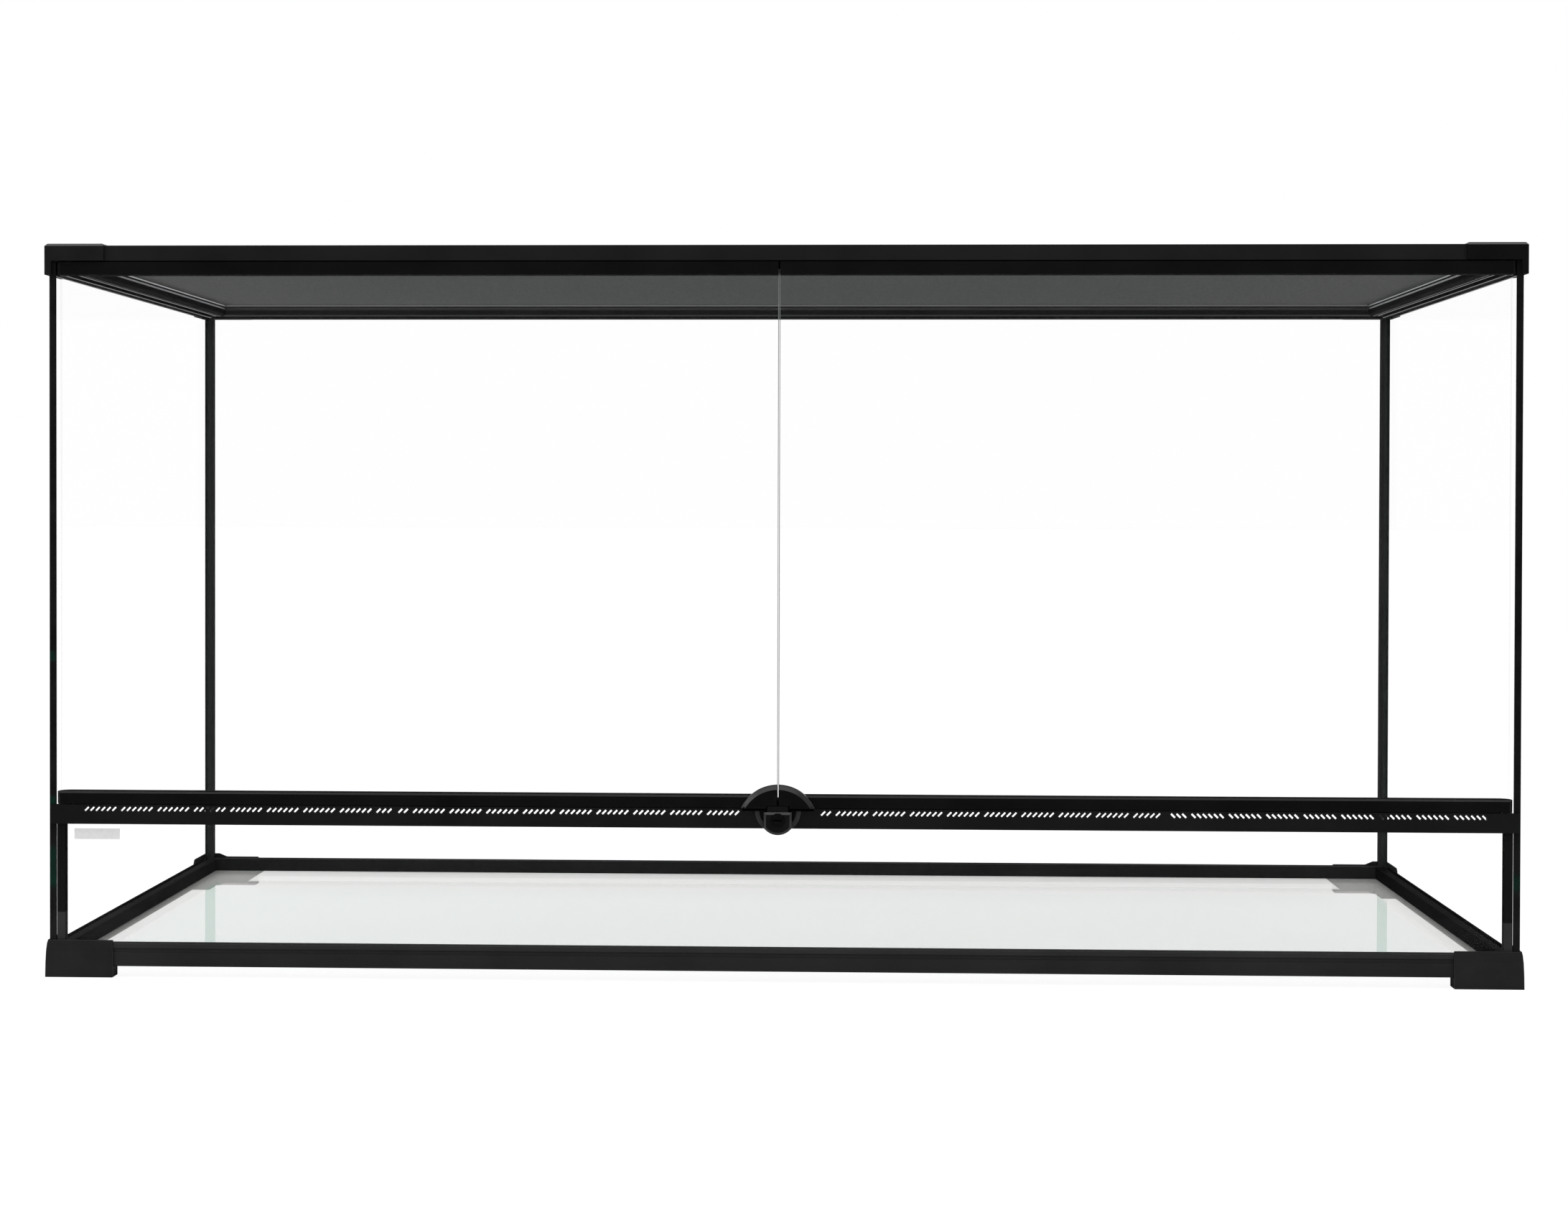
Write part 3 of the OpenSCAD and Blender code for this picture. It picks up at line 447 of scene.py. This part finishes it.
# The top side rails' bevels are painted eight times lighter as a painted highlight line along the
# ledge. Nearer the middle than 574.9 mm they stay plain.
top_side_plastic = extruded_plastic("top_side_plastic_y", grey(0.0065), grey(0.009), "y", 0.05, 1.0,
                                    edge_wear_and_highlight=8, plain_inside=0.5749)
side_plastic = extruded_plastic("side_plastic_y", grey(0.006), grey(0.0085), "y", 0.03, 0.8,
                                band=("X", 0.0, 0.3))
base_plastic = extruded_plastic("base_plastic_x", grey(0.015), grey(0.02), "x",
                                band=("Z", 0.0243, 1.35))
post_plastic = extruded_plastic("post_plastic_z", grey(0.015), grey(0.02), "z")
profile_plastic = extruded_plastic("profile_plastic_z", grey(0.024), grey(0.031), "z", 0.05, 0.5,
                                   band=("Z", 0.053, 0.25))
door_plastic = extruded_plastic("door_plastic_x", grey(0.0038), grey(0.0062), "x", 0.06, 0.35)
vent_plastic = extruded_plastic("vent_plastic_x", grey(0.0072), grey(0.0105), "x", 0.06, 0.4)
foot_plastic = moulded_plastic("foot_plastic", grey(0.0135), grey(0.0175))
cap_plastic = moulded_plastic("cap_plastic", grey(0.0085), grey(0.0115), 0.08, 0.7,
                              band=("X", 0.0, 0.5))
handle_plastic = moulded_plastic("handle_plastic", grey(0.0036), grey(0.0062), 0.06, 0.75, 2200)
lock_plastic = moulded_plastic("lock_plastic", grey(0.005), grey(0.0085), 0.08, 0.9, 2200)
ring_plastic = moulded_plastic("ring_plastic", grey(0.028), grey(0.038), 0.12, 0.5, 2200,
                               band=("Y", -0.2954, 0.15))
# The screen bars' bevels carry a painted highlight: three times lighter on the front and back bars,
# and 22 times on the side bars, which are otherwise nearly the same paint.
screen_paint = extruded_plastic("screen_paint_x", grey(0.021), grey(0.027), "x", 0.1, 1.0,
                                edge_wear_and_highlight=3)
screen_side_paint = extruded_plastic("screen_paint_y", grey(0.019), grey(0.025), "y", 0.1, 1.0,
                                     edge_wear_and_highlight=22)
side_glass = glass("side_glass", "X", 0.015)
front_glass = glass("front_glass", "Y", 0.04)
door_glass = glass("door_glass", "Y", 0.05, edge=0.08, edge_tone=(0.22, 0.23, 0.23),
                   middle_edge=0.85)
floor_glass = glass("floor_glass", "Z", 0.46, body=0.3, body_tone=(0.63, 0.87, 0.76),
                    mirror_tone=(1, 0.45, 0.68), edge=0.35, edge_tone=(0.16, 0.3, 0.24),
                    dull_tone=(0.74, 0.745, 0.725))
pin_zinc = zinc("pin_zinc", (0.55, 0.56, 0.57))
cylinder_metal = zinc("cylinder_metal", (0.022, 0.022, 0.023))
paper = label_paper("blank_label_paper")
vinyl = speckled("spline_vinyl_cord", (0.17, 0.17, 0.175), (0.24, 0.24, 0.245), 700, 0.3, 0.1 * MM)
wire = speckled("mesh_wire_paint", (0.06, 0.06, 0.06), (0.1, 0.1, 0.1), 900, 0.2, 0.02 * MM,
                specular=0.4)

# The first start that a piece's name has decides its material
LOOKS = {
    "base_rail_front": base_plastic, "base_rail_back": frame_plastic, "base_rail_": side_plastic,
    "top_rail_left": top_side_plastic, "top_rail_right": top_side_plastic,
    "top_rail_": frame_plastic,
    "foot_": foot_plastic, "cap_": cap_plastic, "rear_post_": post_plastic,
    "lower_end_profile_": profile_plastic, "front_edge_profile_": edge_strip("edge_strip"),
    "floor_glass": floor_glass, "side_glass_": side_glass, "door_glass_": door_glass,
    "back_glass": front_glass, "lower_front_glass": front_glass,
    "level_label": paper, "vent_": vent_plastic,
    "door_handle_": handle_plastic, "door_": door_plastic, "hinge_pins_": pin_zinc,
    "lock_ring": ring_plastic, "lock_body": lock_plastic,
    "lock_cylinder": cylinder_metal, "lock_": pin_zinc,
    "screen_bar_left": screen_side_paint, "screen_bar_right": screen_side_paint,
    "screen_bar_": screen_paint, "screen_spline": vinyl, "screen_mesh": wire,
}

# Width of the rounded edges in millimetres, and in how many steps
EDGES = {
    "base_rail_": (0.5, 2), "top_rail_": (0.5, 1), "foot_": (0.6, 2), "cap_": (0.5, 2),
    "lower_end_profile_": (0.5, 2), "front_edge_profile_": (0.6, 2), "rear_post_": (0.5, 2),
    "vent_rail": (0.35, 2), "door_bottom_rail_": (0.6, 2), "door_top_rail_": (0.5, 2),
    "door_handle_": (0.35, 2), "lock_body": (0.5, 2), "lock_ring": (0.35, 1),
    "lock_cylinder": (0.4, 1), "screen_bar_": (1.6, 1), "screen_spline": (0.6, 2),
    "hinge_pins_": (0.2, 1), "lock_cam": (0.3, 1), "lock_nut": (0.2, 1), "door_glass_": (0.45, 1),
}


def starting(table, name):
    """The values of a table whose keys the name starts with."""
    return [value for start, value in table.items() if name.startswith(start)]


def round_edges(obj, width, steps):
    """Joins the faces' shared corners and rounds the sharp edges between them."""
    weld = obj.modifiers.new("weld", "WELD")
    weld.merge_threshold = 0.005 * MM
    edge = obj.modifiers.new("edges", "BEVEL")
    edge.width = width * MM
    edge.segments = steps
    edge.limit_method = "ANGLE"
    edge.angle_limit = math.radians(40)
    edge.use_clamp_overlap = True


for name, obj in nodes.items():
    obj.data.materials.clear()
    obj.data.materials.append(starting(LOOKS, name)[0])
    for edge in starting(EDGES, name):
        round_edges(obj, *edge)


# ---------- the screen's woven wires ----------

WIRE_R, WIRE_PITCH = 0.2 * MM, 2.0 * MM
# How far each layer's wires lie from the sheet's middle
WIRE_LIFT = WIRE_R * 0.6


def new_object(name, points, faces):
    """A mesh object in the scene."""
    mesh = bpy.data.meshes.new(name)
    mesh.from_pydata([tuple(p) for p in points], [], faces)
    mesh.validate()
    mesh.update()
    obj = bpy.data.objects.new(name, mesh)
    bpy.context.scene.collection.objects.link(obj)
    return obj


def prism_grid(name, low, high):
    """Straight wires in two layers, one along X and one along Y, as one mesh."""
    points, faces = [], []
    up = Vector((0, 0, 1))

    def wire_prism(a, b, side):
        """A wire of four sides from a to b."""
        first = len(points)
        for end in (a, b):
            for s, u in ((-1, 0), (0, -1), (1, 0), (0, 1)):
                points.append(end + side * (s * WIRE_R) + up * (u * WIRE_R))
        for k in range(4):
            n = (k + 1) % 4
            faces.append((first + k, first + n, first + 4 + n, first + 4 + k))
        faces.append(tuple(first + k for k in (3, 2, 1, 0)))
        faces.append(tuple(first + 4 + k for k in range(4)))

    mid = (low.z + high.z) / 2
    rows = int((high.y - low.y) / WIRE_PITCH)
    columns = int((high.x - low.x) / WIRE_PITCH)
    for k in range(rows):
        y = low.y + (high.y - low.y) * (k + 0.5) / rows
        z = mid - WIRE_LIFT
        wire_prism(Vector((low.x, y, z)), Vector((high.x, y, z)), Vector((0, -1, 0)))
    for k in range(columns):
        x = low.x + (high.x - low.x) * (k + 0.5) / columns
        z = mid + WIRE_LIFT
        wire_prism(Vector((x, low.y, z)), Vector((x, high.y, z)), Vector((1, 0, 0)))
    return new_object(name, points, faces)


screen = prism_grid("screen_wires", *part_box("screen_mesh"))
screen.data.materials.append(wire)
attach(screen, "screen_lid")
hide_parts("screen_mesh")


# ---------- studio ----------

FLOOR_HALF = 40.0
# The floor's colour, and how bright and how large a part of it is a white glow to the camera
FLOOR_TONE = (0.86, 0.86, 0.86, 1)
FLOOR_GLOW, GLOW_SHARE = 1.12, 0.8
# The floor's front edge as glossy surfaces see it, and what they see before it
TABLE_END, BEYOND_TONE = -0.68, (0.02, 0.02, 0.02, 1)
# How bright the world is on surfaces, and to what is glossy in front and behind
SOFT_LIGHT, GLOSSY_FRONT, GLOSSY_BACK = 0.75, 0.06, 1.0
WHITE = (1, 1, 1, 1)


def studio_floor():
    """A large pale floor that reads white to the camera and keeps the shadow. What is glossy sees
    it end in front of the object, as a table does."""
    half = FLOOR_HALF
    floor = new_object("floor", [(-half, -half, 0), (half, -half, 0), (half, half, 0),
                                 (-half, half, 0)], [(0, 1, 2, 3)])
    mat, tree, shader = new_material("floor_pale")
    shader.inputs["Base Color"].default_value = FLOOR_TONE
    shader.inputs["Roughness"].default_value = 0.9
    shader.inputs["Specular IOR Level"].default_value = 0.0
    path = tree.nodes.new("ShaderNodeLightPath")
    seen = maths(tree, "MAXIMUM", path.outputs["Is Camera Ray"],
                 path.outputs["Is Transmission Ray"])
    glow = add(tree, "ShaderNodeEmission", Color=WHITE, Strength=FLOOR_GLOW)
    lit = mix_shaders(tree, maths(tree, "MULTIPLY", seen, GLOW_SHARE), shader.outputs["BSDF"],
                      glow.outputs["Emission"])
    beyond = maths(tree, "LESS_THAN", coordinates(tree, "Object")["Y"], TABLE_END)
    dark = add(tree, "ShaderNodeBsdfDiffuse", Color=BEYOND_TONE)
    hidden = maths(tree, "MULTIPLY", beyond, path.outputs["Is Glossy Ray"])
    show(tree, mix_shaders(tree, hidden, lit, dark.outputs["BSDF"]))
    floor.data.materials.append(mat)


def studio_world():
    """White to the camera and through glass, soft on surfaces, and dimmer in front for gloss."""
    world = bpy.data.worlds.new("studio")
    bpy.context.scene.world = world
    world.use_nodes = True
    tree = world.node_tree
    back = next(n for n in tree.nodes if n.type == "BACKGROUND")
    back.inputs["Color"].default_value = WHITE
    path = tree.nodes.new("ShaderNodeLightPath")
    glossy = map_range(tree, coordinates(tree, "Generated")["Y"], -0.5, 0.3,
                       GLOSSY_FRONT, GLOSSY_BACK)

    def pick(flag, yes, no):
        """Strength yes where the ray has this flag, otherwise no."""
        mix = add(tree, "ShaderNodeMix", data_type="FLOAT")
        tree.links.new(path.outputs[flag], mix.inputs["Factor"])
        feed(tree, mix.inputs["A"], no)
        feed(tree, mix.inputs["B"], yes)
        return mix.outputs["Result"]

    soft = pick("Is Glossy Ray", glossy, SOFT_LIGHT)
    clear = pick("Is Transmission Ray", 1.0, soft)
    tree.links.new(pick("Is Camera Ray", 1.0, clear), back.inputs["Strength"])


# Where each lamp stands, what it is turned towards, its width and height, and its power in watts
LAMPS = {
    "overhead": ((0, -0.3, 2.6), (0, 0, 0.3), (3.0, 2.0), 26),
    "high_left": ((-2.2, -0.6, 2.0), (0, -0.2, 0.3), (1.4, 1.4), 14),
    "front_left": ((-2.4, -3.0, 2.2), (0, 0, 0.3), (1.6, 1.6), 24),
    "front_right": ((2.6, -2.6, 1.9), (0, 0, 0.3), (1.4, 1.4), 18),
}


def lamp(name, place, aim, size, power):
    """A soft rectangular lamp that the camera doesn't see."""
    data = bpy.data.lights.new(name, "AREA")
    data.shape = "RECTANGLE"
    data.size, data.size_y = size
    data.energy = power
    obj = bpy.data.objects.new(name, data)
    bpy.context.scene.collection.objects.link(obj)
    obj.location = place
    obj.rotation_euler = (Vector(aim) - Vector(place)).to_track_quat("-Z", "Y").to_euler()
    obj.visible_camera = False


# The photograph's own view, fitted to the tank's corners: its size, focal length and optical
# centre in pixels, where the camera stands, and how it is turned, in degrees
PHOTO_SIZE = (2184, 1684)
FOCAL, CENTRE = 4112.54, (1018.07, 755.07)
CAMERA_PLACE = (0.05647, -2.68468, 0.39071)
YAW, PITCH, ROLL = 2.2781, -0.7881, -0.1309


def photo_camera():
    """The camera of that view."""
    width, height = PHOTO_SIZE
    data = bpy.data.cameras.new("photo_camera")
    data.sensor_width = 36
    data.lens = FOCAL / width * data.sensor_width
    data.shift_x = (width / 2 - CENTRE[0]) / width
    data.shift_y = (CENTRE[1] - height / 2) / width
    data.clip_start, data.clip_end = 0.05, 200
    cam = bpy.data.objects.new("photo_camera", data)
    bpy.context.scene.collection.objects.link(cam)
    yaw, pitch, roll, level = (Matrix.Rotation(math.radians(angle), 4, axis) for angle, axis in
                               ((YAW, "Z"), (PITCH, "X"), (ROLL, "Y"), (90, "X")))
    cam.matrix_world = Matrix.Translation(CAMERA_PLACE) @ (yaw @ pitch @ roll @ level)
    bpy.context.scene.camera = cam


studio_floor()
studio_world()
for name, values in LAMPS.items():
    lamp(name, *values)
photo_camera()
bpy.context.scene.view_settings.view_transform = "Standard"
